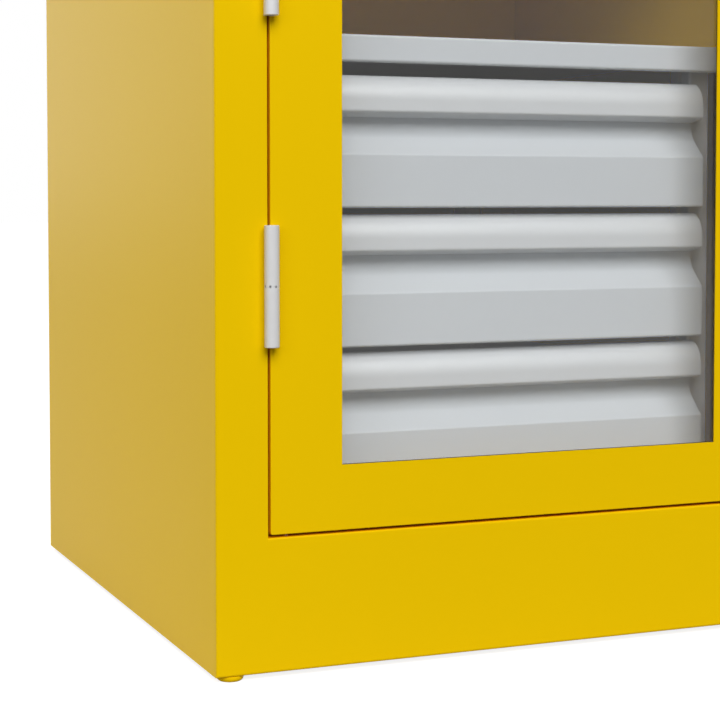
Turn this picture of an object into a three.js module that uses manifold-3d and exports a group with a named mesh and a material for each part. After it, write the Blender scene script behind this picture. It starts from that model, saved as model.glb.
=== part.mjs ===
// A heavy-duty workshop cabinet: a welded case of folded sheet steel on four glides, one glazed
// door hung on the left, three drawers on telescopic runners behind it, a shelf above them, and
// a turning handle that works two lock rods.
// Millimetres. X runs to the right as seen from the front, Y to the back and Z up. The origin is
// on the floor, below the middle of the box round the whole cabinet.

import * as THREE from 'three';
import { mergeVertices } from 'three/addons/utils/BufferGeometryUtils.js';
import Module from 'manifold-3d';

const wasm = await Module();
wasm.setup();

// Clearances
const fit_gap = 0.25;             // between pieces that are welded, bolted or clamped together
const running_gap = 0.5;          // between pieces that slide or turn in each other
const overrun = 2;                // how far a cut runs past the face that it opens

// The case
const overall_width = 705;
const overall_height = 1019;
const case_depth = 736;
const case_sheet = 1.5;
const case_bend = 1.5;            // inside radius of a fold
const stile_width = 54.5;
const head_rail_height = 54.5;
const plinth_height = 135;
const rebate_depth = 21;          // from the front face back to the door stop
const stop_lip = 14;
const rear_flange = 30;
const floor_flange = 25;

// The glides under the case and the plates that carry them
const foot_height = 6;
const foot_radius = 13.5;
const foot_edge = 4;              // rounding at the glide's lower edge
const foot_side_inset = 18.5;     // from the case's side to the glide's middle
const foot_front_inset = 14;      // from the case's front or back to the glide's middle
const foot_stem_radius = 4;
const foot_stem_length = 12;
const foot_plate_size = 50;
const foot_plate_sheet = 3;

// The posts that carry the runners
const post_depth = 40;
const post_flange = 25;
const post_sheet = 2;
const post_front = 90;            // from the case's front face to the front posts
const post_rear_room = 20;        // behind the rear posts
const post_slot_width = 8;
const post_slot_height = 14;
const post_slot_pitch = 25;

// The shelf over the drawers
const shelf_setback = 60;
const shelf_edge = 28;
const shelf_return = 12;
const shelf_sheet = 1.25;
const shelf_gap = 13.25;          // above the top drawer's front

// The drawers
const drawer_names = ['lower', 'middle', 'upper'];
const drawer_setback = 60;        // from the case's front face to the drawers' fronts
const drawer_lift = 36.25;        // from the sill to the lowest front
const drawer_gap = 7;
const drawer_room = 112;           // from the case's side to the drawers, for the posts
const drawer_sheet = 1.25;
const drawer_bend = 1.5;
const front_height = 138;
const front_flat = 55.5;          // height of the upright part of a front
const front_return = 18;
const recess_radius = 23.5;       // hollow behind the grip
const tray_length = 615;
const tray_height = 100;
const tray_lift = 10;             // above the lower edge of its front

// The grip rail along each front
const grip_depth = 24.5;
const grip_height = 38.5;
const grip_wall = 2;
const grip_crown = 16;            // from the grip's foremost line back to its top edge
const grip_crown_slope = Math.PI / 6;
const grip_crown_radius = 26;
const grip_lip_radius = 3;
const grip_drop = 4.5;            // fall of the grip's underside towards its rear edge
const grip_edge_radius = 0.5;

// The runners: a fixed, a middle and a drawer member on each side
const runner_height = 46;
const runner_width = 13;
const runner_sheet = 1.5;
const runner_bend = 1;
const runner_length = 610;
const runner_start = 28;          // behind the drawer's foremost face
const runner_lift = 55;           // from the lower edge of the front to the runner's middle
const runner_reach = 11;          // width of the fixed and middle members' flanges

// The door
const door_side_gap = 2.5;
const door_top_gap = 2.5;
const door_bottom_gap = 3;
const door_depth = 20;
const door_sheet = 1.5;
const door_lip = 9;
const door_stile = 76;
const door_rail = 66;
const pane_thickness = 4;
const pane_overlap = 10;          // how far the pane runs behind the sheet round the window
const pane_frame_wall = 2;
const pane_frame_reveal = 3;      // between the window's edge and the frame's inner edge

// The weld-on hinges
const hinge_names = ['lower', 'upper'];
const hinge_radius = 7.5;
const hinge_length = 120;
const hinge_inset = 247;          // from the door's end to the hinge's middle
const hinge_face_gap = 0.3;       // between the barrel and the door's face
const hinge_split_gap = 0.75;
const hinge_weld_width = 4;
const hinge_weld_depth = 4;
const pin_radius = 4;
const pin_recess = 3;             // from the barrel's end down to the pin's end

// The lock
const lock_inset = 36;            // from the door's closing edge to the handle's axis
const rose_radius = 24;
const rose_thickness = 5;
const handle_reach = 38;          // from the door's face to the handle's front
const handle_length = 80;
const handle_width = 24;
const handle_thickness = 16;
const handle_hub_radius = 15;
const handle_socket = 9;          // how deep the shaft stands in the handle
const cylinder_radius = 8;
const cylinder_depth = 11;
const key_slot_width = 2;
const key_slot_height = 9;
const key_slot_depth = 3;
const shaft_radius = 5;
const cam_radius = 24;
const cam_thickness = 3;
const cam_setback = 4;            // from the door's front face to the cam
const crank_radius = 18;          // from the shaft's axis to each cam pin
const cam_pin_radius = 3.5;
const cam_pin_length = 6;
const crank_rest = -Math.PI / 4;  // the upper rod's pin, below level at rest
const rod_width = 14;
const rod_thickness = 4;
const rod_head_rim = 3;
const rod_tip_gap = 1;            // from the door's end to the rod's tip at rest
const cam_pin_play = 0.75;        // round a cam pin in its rod
const rod_play = 0.5;             // round a rod in the slots that it runs in

// The small glide button on the sill below the door
const button_radius = 2.25;
const button_height = 1;
const button_inset = 19.5;        // from the door's hinge edge
const button_setback = 10;

// How finely round shapes are cut
const round_steps = 24;
const small_round_steps = 16;
const edge_steps = 3;
const bend_step = Math.PI / 12;

// Places that follow from the sizes, with Y counted from the case's front face
const half_width = overall_width / 2;
const front_y = (handle_reach - case_depth) / 2;
const sill_top = foot_height + plinth_height;
const case_top_under = overall_height - case_sheet;
const head_rail_bottom = overall_height - head_rail_height;
const jamb_x = half_width - stile_width;
const stop_back = rebate_depth + case_sheet;
const back_front = case_depth - 2 * (case_sheet + fit_gap);
const side_inside = half_width - case_sheet;
const drawer_width = overall_width - 2 * drawer_room;
const drawer_pitch = front_height + drawer_gap;
const drawers_bottom = sill_top + drawer_lift;
const drawers_top = drawers_bottom + drawer_names.length * drawer_pitch - drawer_gap;
const shelf_bottom = drawers_top + shelf_gap;
const shelf_top = shelf_bottom + shelf_edge;
const door_width = 2 * (jamb_x - door_side_gap);
const door_left = door_side_gap - jamb_x;
const door_bottom = sill_top + door_bottom_gap;
const door_height = head_rail_bottom - door_top_gap - door_bottom;
const hinge_x = door_left - door_side_gap / 2;
const hinge_standoff = hinge_radius + hinge_face_gap;
const lock_x = door_width - lock_inset;
const lock_z = door_height / 2;
const rod_front = cam_setback + cam_thickness + 2 * running_gap;
const rod_x = crank_radius * (1 + Math.cos(crank_rest)) / 2;

// Finishes
const finish = (color, roughness, metalness) => ({ color, roughness, metalness });
const yellow_paint = finish('#e0ba08', 0.45, 0);
const grey_paint = finish('#bfc3c6', 0.4, 0);
const grip_paint = finish('#c6cacc', 0.32, 0.1);
const zinc = finish('#a9adb0', 0.35, 0.9);
const pale_steel = finish('#d0d0d0', 0.35, 0.3);
const dark_plastic = finish('#2b2d30', 0.5, 0);
const chrome = finish('#c9ccd0', 0.15, 1);
const clear_glazing = finish('#eef4f6', 0.05, 0);
const white_plastic = finish('#e6dcd4', 0.5, 0);

// A closed geometry as a solid that can be joined and cut, and back again
function toSolid(geometry) {
  const bare = geometry.clone();
  bare.deleteAttribute('normal');
  bare.deleteAttribute('uv');
  const merged = mergeVertices(bare);
  return new wasm.Manifold(new wasm.Mesh({
    numProp: 3,
    vertProperties: merged.attributes.position.array,
    triVerts: Uint32Array.from(merged.index.array),
  }));
}

function toGeometry(solid) {
  const { vertProperties, triVerts } = solid.getMesh();
  const geometry = new THREE.BufferGeometry();
  geometry.setAttribute('position', new THREE.BufferAttribute(vertProperties, 3));
  geometry.setIndex(new THREE.BufferAttribute(triVerts, 1));
  geometry.computeVertexNormals();
  return geometry;
}

function join(first, ...others) {
  return toGeometry(others.reduce((whole, other) => whole.add(toSolid(other)), toSolid(first)));
}

function cut(body, ...tools) {
  return toGeometry(tools.reduce((rest, tool) => rest.subtract(toSolid(tool)), toSolid(body)));
}

// A block between two places on each axis
function block([x0, x1], [y0, y1], [z0, z1]) {
  const geometry = new THREE.BoxGeometry(x1 - x0, y1 - y0, z1 - z0);
  return geometry.translate((x0 + x1) / 2, (y0 + y1) / 2, (z0 + z1) / 2);
}

// A span of a given length about a middle
function around(middle, length) {
  return [middle - length / 2, middle + length / 2];
}

// A rod along Y or Z between two places, with its axis through x and the other place
function rodY(radius, x, z, [from, to], steps = round_steps) {
  const geometry = new THREE.CylinderGeometry(radius, radius, to - from, steps);
  return geometry.translate(x, (from + to) / 2, z);
}

function rodZ(radius, x, y, [from, to], steps = round_steps) {
  const geometry = new THREE.CylinderGeometry(radius, radius, to - from, steps);
  return geometry.rotateX(Math.PI / 2).translate(x, y, (from + to) / 2);
}

// The outline of a folded sheet. The path follows one face of it and has the metal on its left.
// Each corner is a fold with the given inside radius, or with its own as a third number.
function foldedSheet(path, thickness, inside_radius) {
  const face = [];
  const back = [];
  const left = (v) => new THREE.Vector2(-v.y, v.x);
  const corners = path.map(([x, y]) => new THREE.Vector2(x, y));
  corners.forEach((here, i) => {
    const into = i > 0 ? here.clone().sub(corners[i - 1]).normalize() : null;
    const out = i < corners.length - 1 ? corners[i + 1].clone().sub(here).normalize() : null;
    if (!into || !out) {
      face.push(here);
      back.push(here.clone().addScaledVector(left(into || out), thickness));
      return;
    }
    const turn = Math.atan2(into.cross(out), into.dot(out));
    const side = Math.sign(turn);
    const inside = path[i][2] ?? inside_radius;
    const face_radius = side > 0 ? inside + thickness : inside;
    const back_radius = face_radius - side * thickness;
    const start = here.clone().addScaledVector(into, -face_radius * Math.tan(Math.abs(turn) / 2));
    const centre = start.clone().addScaledVector(left(into), side * face_radius);
    const steps = Math.ceil(Math.abs(turn) / bend_step);
    for (let k = 0; k <= steps; k += 1) {
      const spoke = left(into).multiplyScalar(-side).rotateAround(new THREE.Vector2(), turn * k / steps);
      face.push(centre.clone().addScaledVector(spoke, face_radius));
      back.push(centre.clone().addScaledVector(spoke, back_radius));
    }
  });
  return new THREE.Shape([...face, ...back.reverse()]);
}

// The same section on the other side of the cabinet
function mirrored(path) {
  return path.map(([x, ...rest]) => [-x, ...rest]).reverse();
}

// Sections run straight along one axis: a Y-Z section along X, X-Z along Y, X-Y along Z
const x_axis = new THREE.Vector3(1, 0, 0);
const y_axis = new THREE.Vector3(0, 1, 0);
const z_axis = new THREE.Vector3(0, 0, 1);

function extruded(shape, from, to) {
  return new THREE.ExtrudeGeometry(shape, { depth: to - from, bevelEnabled: false });
}

function runX(shape, [from, to]) {
  const turned = new THREE.Matrix4().makeBasis(y_axis, z_axis, x_axis);
  return extruded(shape, from, to).applyMatrix4(turned).translate(from, 0, 0);
}

function runY(shape, [from, to]) {
  const turned = new THREE.Matrix4().makeBasis(x_axis, z_axis, y_axis.clone().negate());
  return extruded(shape, from, to).applyMatrix4(turned).translate(0, to, 0);
}

function runZ(shape, [from, to]) {
  return extruded(shape, from, to).translate(0, 0, from);
}

// A named piece with its own finish, placed in the group that holds it
function piece(group, name, geometry, look, place = [0, 0, 0]) {
  const mesh = new THREE.Mesh(geometry, new THREE.MeshStandardMaterial(look));
  mesh.name = name;
  mesh.position.set(...place);
  group.add(mesh);
}

function subgroup(group, x, y, z) {
  const inner = new THREE.Group();
  inner.position.set(x, y, z);
  group.add(inner);
  return inner;
}

// The slots that a lock rod passes through in the door's end and in the case
function rodSlot(x, z_span) {
  const depths = around(rod_front + rod_thickness / 2, rod_thickness + 2 * rod_play);
  return block(around(x, rod_width + 2 * rod_play), depths, z_span);
}

// Side panels: each is one folded sheet with the rear flange, the wall, the front stile, the
// jamb and the door stop, and carries a plate for the glide at each end
function sidePanel(side) {
  const wall = -half_width;
  const path = [
    [wall + rear_flange, case_depth],
    [wall, case_depth],
    [wall, 0],
    [wall + stile_width, 0],
    [wall + stile_width, rebate_depth],
    [wall + stile_width + stop_lip, rebate_depth],
  ];
  const outline = foldedSheet(side < 0 ? path : mirrored(path), case_sheet, case_bend);
  const sheet = runZ(outline, [foot_height, case_top_under - fit_gap]);
  const across = [side * half_width - side * case_sheet / 2, side * (half_width - foot_plate_size)];
  across.sort((a, b) => a - b);
  const plate_z = [foot_height, foot_height + foot_plate_sheet];
  const front_plate = block(across, [case_sheet / 2, foot_plate_size], plate_z);
  const rear_plate = block(across, [case_depth - foot_plate_size, back_front - fit_gap], plate_z);
  const hole_radius = foot_stem_radius + running_gap;
  const hole_z = [foot_height - overrun, foot_height + foot_plate_sheet + overrun];
  const holes = footPlaces().map(([x, y]) => rodZ(hole_radius, x, y, hole_z, small_round_steps));
  return cut(join(sheet, front_plate, rear_plate), ...holes);
}

function footPlaces() {
  const x = half_width - foot_side_inset;
  return [foot_front_inset, case_depth - foot_front_inset].flatMap((y) => [[-x, y], [x, y]]);
}

// The rails over and under the door: the face, a flange at the case's edge, the rebate and the
// door stop, notched at both ends for the stops on the side panels, with a slot for a lock rod
function doorRail(edge, opening, rod_slot_x) {
  const inward = Math.sign(edge - opening);
  const path = [
    [rebate_depth, edge],
    [0, edge],
    [0, opening],
    [rebate_depth, opening],
    [rebate_depth, opening - inward * stop_lip],
  ];
  const outline = foldedSheet(inward > 0 ? path : path.reverse(), case_sheet, case_bend);
  const rail = runX(outline, around(0, 2 * (jamb_x - fit_gap)));
  const lip_x = jamb_x - stop_lip - fit_gap;
  const notch_y = [rebate_depth - case_bend - fit_gap, stop_back + overrun];
  const notch_z = [Math.min(edge, opening) - stop_lip - overrun, Math.max(edge, opening) + stop_lip + overrun];
  return cut(
    rail,
    block([-half_width, -lip_x], notch_y, notch_z),
    block([lip_x, half_width], notch_y, notch_z),
    rodSlot(rod_slot_x, around(opening, 2 * (case_sheet + overrun))),
  );
}

function backPanel() {
  const half = side_inside - case_bend - fit_gap;
  const y = case_depth - case_sheet - fit_gap;
  return block([-half, half], [y - case_sheet, y], [foot_height, case_top_under - fit_gap]);
}

function topPanel() {
  return block([-half_width, half_width], [0, case_depth], [case_top_under, overall_height]);
}

function floorPanel() {
  const half = side_inside - fit_gap;
  const below = sill_top - floor_flange;
  const path = [[half, below], [half, sill_top], [-half, sill_top], [-half, below]];
  const outline = foldedSheet(path, case_sheet, case_bend);
  return runY(outline, [stop_back + fit_gap, back_front - fit_gap]);
}

function glide() {
  const edge = new THREE.Path();
  edge.moveTo(0, 0);
  edge.lineTo(foot_radius - foot_edge, 0);
  edge.absarc(foot_radius - foot_edge, foot_edge, foot_edge, -Math.PI / 2, 0);
  edge.lineTo(foot_radius, foot_height - fit_gap);
  edge.lineTo(foot_stem_radius, foot_height - fit_gap);
  edge.lineTo(foot_stem_radius, foot_height + foot_stem_length);
  edge.lineTo(0, foot_height + foot_stem_length);
  return new THREE.LatheGeometry(edge.getPoints(edge_steps), round_steps).rotateX(Math.PI / 2);
}

// Posts: perforated channels between the floor and the shelf, open away from the drawers
function post(side, front) {
  const face = -drawer_width / 2;
  const path = [
    [face - post_flange, front],
    [face, front],
    [face, front + post_depth],
    [face - post_flange, front + post_depth],
  ];
  const outline = foldedSheet(side < 0 ? path : mirrored(path), post_sheet, case_bend);
  const height = [sill_top + fit_gap, shelf_top - shelf_sheet - fit_gap];
  const count = Math.floor((height[1] - height[0] - post_slot_pitch) / post_slot_pitch);
  const across = around(side * (drawer_width + post_sheet) / 2, post_sheet + 2 * overrun);
  const slots = Array.from({ length: count }, (_, i) => block(
    across,
    around(front + post_depth / 2, post_slot_width),
    around(height[0] + post_slot_pitch * (i + 1), post_slot_height),
  ));
  return cut(runZ(outline, height), ...slots);
}

function shelf() {
  const rear = back_front - fit_gap;
  const path = [
    [rear, shelf_bottom],
    [rear, shelf_top],
    [shelf_setback, shelf_top],
    [shelf_setback, shelf_bottom],
    [shelf_setback + shelf_return, shelf_bottom],
  ];
  const outline = foldedSheet(path, shelf_sheet, drawer_bend);
  return runX(outline, around(0, 2 * (side_inside - fit_gap)));
}

// Drawers, with Y counted from the front's foremost face and Z from its lower edge
function drawerFront() {
  const path = [
    [grip_depth, front_height],
    [grip_depth, front_flat + grip_depth, recess_radius],
    [0, front_flat],
    [0, 0],
    [front_return, 0],
  ];
  return runX(foldedSheet(path, drawer_sheet, drawer_bend), around(0, drawer_width));
}

function gripRail() {
  const rear = grip_depth - fit_gap;
  const underside = front_height - grip_height;
  const path = [
    [rear, front_height],
    [grip_crown, front_height, grip_edge_radius],
    [0, front_height - grip_crown * Math.tan(grip_crown_slope), grip_crown_radius],
    [0, underside],
    [rear - fit_gap, underside - grip_drop],
  ];
  return runX(foldedSheet(path, grip_wall, grip_lip_radius), around(0, drawer_width));
}

function drawerTray() {
  const width = drawer_width - 2 * runner_width - 2 * fit_gap;
  const start = grip_depth + drawer_sheet + fit_gap;
  const end = start + tray_length;
  const outer = block(around(0, width), [start, end], [tray_lift, tray_lift + tray_height]);
  const inner = block(
    around(0, width - 2 * drawer_sheet),
    [start + drawer_sheet, end - drawer_sheet],
    [tray_lift + drawer_sheet, tray_lift + tray_height + overrun],
  );
  return cut(outer, inner);
}

// Runner members, with X counted from the post's face towards the drawer
function runnerMember(side, path) {
  const outline = foldedSheet(side < 0 ? path : mirrored(path), runner_sheet, runner_bend);
  return runY(outline, [runner_start, runner_start + runner_length]);
}

function runnerSections() {
  const fixed = runner_height / 2;
  const middle = fixed - runner_sheet - running_gap;
  const moving = middle - runner_sheet - running_gap;
  const middle_x = fit_gap + runner_sheet + running_gap;
  const moving_x = middle_x + runner_sheet + running_gap;
  const towardsDrawer = (x, half) => [[runner_reach, half], [x, half], [x, -half], [runner_reach, -half]];
  return {
    fixed: towardsDrawer(fit_gap, fixed),
    middle: towardsDrawer(middle_x, middle),
    drawer: [[moving_x, -moving], [runner_width, -moving], [runner_width, moving], [moving_x, moving]],
  };
}

// The door, with X from its hinge edge, Y from the front face and Z from its lower edge
function doorPanel() {
  const inset = (length, by) => [by, length - by];
  const shell = block([0, door_width], [0, door_depth], [0, door_height]);
  const rear = door_depth - door_sheet;
  const lip = door_sheet + door_lip;
  const ends = [[door_height, lock_x + rod_x], [0, lock_x - rod_x]];
  return cut(
    shell,
    block(inset(door_width, door_sheet), [door_sheet, rear], inset(door_height, door_sheet)),
    block(inset(door_width, lip), [door_sheet, door_depth + overrun], inset(door_height, lip)),
    block(inset(door_width, door_stile), [-overrun, rear], inset(door_height, door_rail)),
    rodY(shaft_radius + running_gap, lock_x, lock_z, [-overrun, rear]),
    ...ends.map(([z, x]) => rodSlot(x, around(z, 2 * (door_sheet + overrun)))),
  );
}

function aroundWindow(margin, y_span) {
  return block(
    [door_stile - margin, door_width - door_stile + margin],
    y_span,
    [door_rail - margin, door_height - door_rail + margin],
  );
}

function windowPane() {
  const front = door_sheet + fit_gap;
  return aroundWindow(pane_overlap, [front, front + pane_thickness]);
}

// The frame that clamps the pane's edge to the back of the door's sheet
function paneFrame() {
  const front = door_sheet + fit_gap;
  const pane_back = front + pane_thickness + fit_gap;
  const back = pane_back + pane_frame_wall;
  const pocket = pane_overlap + fit_gap;
  return cut(
    aroundWindow(pocket + pane_frame_wall, [front, back]),
    aroundWindow(pocket, [front - overrun, pane_back]),
    aroundWindow(pane_frame_reveal, [front - overrun, back + overrun]),
  );
}

// Hinges, with X and Y from the pin's axis and Z from the split between the knuckles
function knuckle(up, side) {
  const spans = up > 0 ? [hinge_split_gap / 2, hinge_length / 2] : [-hinge_length / 2, -hinge_split_gap / 2];
  const weld_x = [door_side_gap / 2, door_side_gap / 2 + hinge_weld_width].map((x) => side * x);
  weld_x.sort((a, b) => a - b);
  const weld = block(weld_x, [hinge_standoff - hinge_weld_depth, hinge_standoff - fit_gap], spans);
  const bore = rodZ(pin_radius + running_gap, 0, 0, [spans[0] - overrun, spans[1] + overrun]);
  return cut(join(rodZ(hinge_radius, 0, 0, spans), weld), bore);
}

function hingePin() {
  return rodZ(pin_radius, 0, 0, around(0, hinge_length - 2 * pin_recess));
}

// The lock, with X and Z from the handle's axis and Y from the door's front face
function rose() {
  const disc = rodY(rose_radius, 0, 0, [-rose_thickness - fit_gap, -fit_gap]);
  const hole = rodY(shaft_radius + running_gap, 0, 0, [-rose_thickness - overrun, overrun]);
  return cut(disc, hole);
}

function stadium(length, width) {
  const shape = new THREE.Shape();
  const reach = (length - width) / 2;
  shape.absarc(0, reach, width / 2, 0, Math.PI);
  shape.absarc(0, -reach, width / 2, Math.PI, 2 * Math.PI);
  return shape;
}

function handle() {
  const back = -rose_thickness - fit_gap - running_gap;
  const hub = rodY(handle_hub_radius, 0, 0, [handle_thickness / 2 - handle_reach, back]);
  const wing = runY(stadium(handle_length, handle_width), [-handle_reach, handle_thickness - handle_reach]);
  const socket = rodY(shaft_radius + fit_gap, 0, 0, [back - handle_socket, back + overrun]);
  const lock_hole = rodY(
    cylinder_radius + running_gap, 0, 0,
    [-handle_reach - overrun, cylinder_depth + fit_gap - handle_reach],
  );
  return cut(join(hub, wing), socket, lock_hole);
}

function keyCylinder() {
  const face = -handle_reach;
  const barrel = rodY(cylinder_radius, 0, 0, [face, face + cylinder_depth]);
  const slot = block(
    around(0, key_slot_width),
    [face - overrun, face + key_slot_depth],
    around(0, key_slot_height),
  );
  return cut(barrel, slot);
}

function lockCam() {
  const shaft_end = -rose_thickness - running_gap - handle_socket;
  const back = cam_setback + cam_thickness;
  const crank = [crank_rest, crank_rest + Math.PI].map((angle) => rodY(
    cam_pin_radius,
    crank_radius * Math.cos(angle),
    crank_radius * Math.sin(angle),
    [back - cam_thickness / 2, back + cam_pin_length],
    small_round_steps,
  ));
  return join(
    rodY(shaft_radius, 0, 0, [shaft_end, cam_setback + cam_thickness / 2]),
    rodY(cam_radius, 0, 0, [cam_setback, back]),
    ...crank,
  );
}

// A flat lock rod whose slotted head takes a cam pin. The lower one is the upper one half turned.
function lockRod(up) {
  const pin_z = crank_radius * Math.sin(crank_rest);
  const inner = crank_radius * Math.cos(crank_rest) - cam_pin_radius - cam_pin_play;
  const outer = crank_radius + cam_pin_radius + cam_pin_play;
  const slot_half = cam_pin_radius + cam_pin_play;
  const head_half = slot_half + rod_head_rim;
  const y = [rod_front, rod_front + rod_thickness];
  const end = door_height - rod_tip_gap - lock_z;
  const head = block([inner - rod_head_rim, outer + rod_head_rim], y, around(pin_z, 2 * head_half));
  const bar = block(around(rod_x, rod_width), y, [pin_z + slot_half + rod_head_rim / 2, end]);
  const slot = block([inner, outer], [y[0] - overrun, y[1] + overrun], around(pin_z, 2 * slot_half));
  const rod = cut(join(head, bar), slot);
  return up > 0 ? rod : rod.rotateY(Math.PI);
}

// Assembly: groups stand where the real sub-assemblies do
const cabinet = new THREE.Group();
const body = subgroup(cabinet, 0, front_y, 0);

piece(body, 'side_left', sidePanel(-1), yellow_paint);
piece(body, 'side_right', sidePanel(1), yellow_paint);
piece(body, 'back_panel', backPanel(), yellow_paint);
piece(body, 'top_panel', topPanel(), yellow_paint);
piece(body, 'floor_panel', floorPanel(), yellow_paint);
const rod_up_x = door_left + lock_x + rod_x;
const rod_down_x = door_left + lock_x - rod_x;
piece(body, 'head_rail', doorRail(case_top_under - fit_gap, head_rail_bottom, rod_up_x), yellow_paint);
piece(body, 'plinth', doorRail(foot_height, sill_top, rod_down_x), yellow_paint);
piece(body, 'shelf', shelf(), grey_paint);

['front_left', 'front_right', 'rear_left', 'rear_right'].forEach((name, i) => {
  const [x, y] = footPlaces()[i];
  const side = Math.sign(x);
  const front = i < 2 ? post_front : back_front - post_rear_room - post_depth;
  piece(body, `foot_${name}`, glide(), yellow_paint, [x, y, 0]);
  piece(body, `post_${name}`, post(side, front), grey_paint);
});

const button = rodZ(button_radius, 0, 0, [fit_gap, fit_gap + button_height], small_round_steps);
piece(body, 'sill_button', button, white_plastic, [door_left + button_inset, button_setback, sill_top]);

drawer_names.forEach((name, i) => {
  const drawer = subgroup(body, 0, drawer_setback, drawers_bottom + i * drawer_pitch);
  piece(drawer, `${name}_drawer_front`, drawerFront(), grey_paint);
  piece(drawer, `${name}_drawer_grip`, gripRail(), grip_paint);
  piece(drawer, `${name}_drawer_tray`, drawerTray(), grey_paint);
  [['left', -1], ['right', 1]].forEach(([hand, side]) => {
    Object.entries(runnerSections()).forEach(([member, path]) => {
      const place = [side * drawer_width / 2, 0, runner_lift];
      piece(drawer, `${name}_runner_${member}_${hand}`, runnerMember(side, path), zinc, place);
    });
  });
});

const door = subgroup(body, door_left, 0, door_bottom);
piece(door, 'door_panel', doorPanel(), yellow_paint);
piece(door, 'window_pane', windowPane(), { ...clear_glazing, transparent: true, opacity: 0.3 });
piece(door, 'pane_frame', paneFrame(), yellow_paint);

hinge_names.forEach((name, i) => {
  const z = i === 0 ? hinge_inset : door_height - hinge_inset;
  const hinge = subgroup(body, hinge_x, -hinge_standoff, door_bottom + z);
  piece(hinge, `${name}_hinge_case_knuckle`, knuckle(-1, -1), pale_steel);
  piece(hinge, `${name}_hinge_door_knuckle`, knuckle(1, 1), pale_steel);
  piece(hinge, `${name}_hinge_pin`, hingePin(), zinc);
});

const lock = subgroup(door, lock_x, 0, lock_z);
piece(lock, 'handle_rose', rose(), dark_plastic);
piece(lock, 'handle', handle(), dark_plastic);
piece(lock, 'key_cylinder', keyCylinder(), chrome);
piece(lock, 'lock_cam', lockCam(), zinc);
piece(lock, 'upper_lock_rod', lockRod(1), zinc);
piece(lock, 'lower_lock_rod', lockRod(-1), zinc);

export default cabinet;
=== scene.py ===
# %% [markdown]
# A workshop cabinet of folded sheet steel: a yellow welded case, one glazed door on two barrel
# hinges, and three grey drawers with rolled grips behind the window. The steel parts were built at
# their real size beforehand, and this lesson dresses them. They are loaded as a fixed frame, so
# every new piece is measured from the part that it stands for. Their plain materials are renamed,
# because the new finishes take over their names.

# %% The fixed frame
import math

import bmesh
import bpy
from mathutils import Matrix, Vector


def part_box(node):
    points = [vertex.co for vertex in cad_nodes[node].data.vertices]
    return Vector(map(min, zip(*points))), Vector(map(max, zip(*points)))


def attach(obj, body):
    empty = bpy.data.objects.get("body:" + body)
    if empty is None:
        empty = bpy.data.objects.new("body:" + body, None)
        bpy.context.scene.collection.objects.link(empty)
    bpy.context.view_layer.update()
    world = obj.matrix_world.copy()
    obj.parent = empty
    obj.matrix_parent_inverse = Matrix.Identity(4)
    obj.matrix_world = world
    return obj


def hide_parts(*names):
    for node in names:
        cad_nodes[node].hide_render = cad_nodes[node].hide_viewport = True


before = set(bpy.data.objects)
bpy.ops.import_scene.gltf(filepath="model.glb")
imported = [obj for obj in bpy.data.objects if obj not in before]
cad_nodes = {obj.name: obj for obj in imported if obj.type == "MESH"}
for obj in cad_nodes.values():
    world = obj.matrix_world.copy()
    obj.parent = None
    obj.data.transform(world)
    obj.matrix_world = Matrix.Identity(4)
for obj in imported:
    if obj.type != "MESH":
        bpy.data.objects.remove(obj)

scene = bpy.context.scene
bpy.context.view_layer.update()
plain_prefix = "plain_"
for old_material in list(bpy.data.materials):
    old_material.name = plain_prefix + old_material.name

# %% [markdown]
# The photograph was taken level, from the front left, at the height of the cabinet's middle, with a
# long lens. A level camera that looks at the cabinet's foot needs its lens shifted far down, and
# other views, which keep the shift, would lose the cabinet's top. So a small shift and a dip of
# under three degrees share the work, and the upright edges stay upright to within a few pixels.

# %% Camera
image_side = 720
sensor_width = 36.0
focal_length_pixels = 1801.5
camera_place = (-0.8874, -2.0188, 0.4798)
camera_turn = math.radians(22.368)
camera_dip = math.radians(2.702)
camera_shift = -0.11


def new_object(name, data):
    thing = bpy.data.objects.new(name, data)
    scene.collection.objects.link(thing)
    return thing


lens = bpy.data.cameras.new("camera")
lens.sensor_width = sensor_width
lens.lens = focal_length_pixels * sensor_width / image_side
lens.shift_y = camera_shift
camera = new_object("camera", lens)
camera.location = camera_place
camera.rotation_euler = (math.pi / 2 - camera_dip, 0, -camera_turn)
scene.camera = camera
print("a lens of", round(lens.lens, 1), "mm at", camera_place)

# %% [markdown]
# The studio's light and every finish are trees of small nodes. Written out in full, such a tree is
# wordy, so one helper adds a node with its settings and its plain input values, and another wires
# outputs to inputs.


# %% Node helpers
def set_values(node, values):
    for title, value in values.items():
        node.inputs[title].default_value = value


def with_settings(thing, settings):
    for title, setting in settings.items():
        setattr(thing, title, setting)
    return thing


def add_node(tree, kind, values=None, **settings):
    node = with_settings(tree.nodes.new(kind), settings)
    set_values(node, values or {})
    return node


def wire(tree, *links):
    """Each link names a node and its output, then a node and its input."""
    for source, output, target, socket in links:
        tree.links.new(source.outputs[output], target.inputs[socket])


# %% [markdown]
# The cabinet stands in an even, pale studio, as for a catalogue. The backdrop behind it is bright,
# and the room before it is dim. Polished faces see a brighter studio than the paint does: white
# screens that only show in mirrors, as are put up for glass and chrome. They lay a thin veil over
# the window, and a stronger one over the side, whose gloss paint is seen at a flat angle, while the
# front keeps its pure yellow. A picture of a sky could light the scene too, but a ramp has only a
# few numbers to set. The colours are shown as they are, without a film look, because the paint's
# yellow is purer than such a look lets through.

# %% World and colour
scene.view_settings.view_transform = "Standard"

white = (1, 1, 1, 1)
room_light, backdrop_light = 0.10, 1.16
room_screens, backdrop_screens = 0.75, 2.3
backdrop_white = 1.0
turn_start, turn_end = -0.2, 0.6

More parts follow.
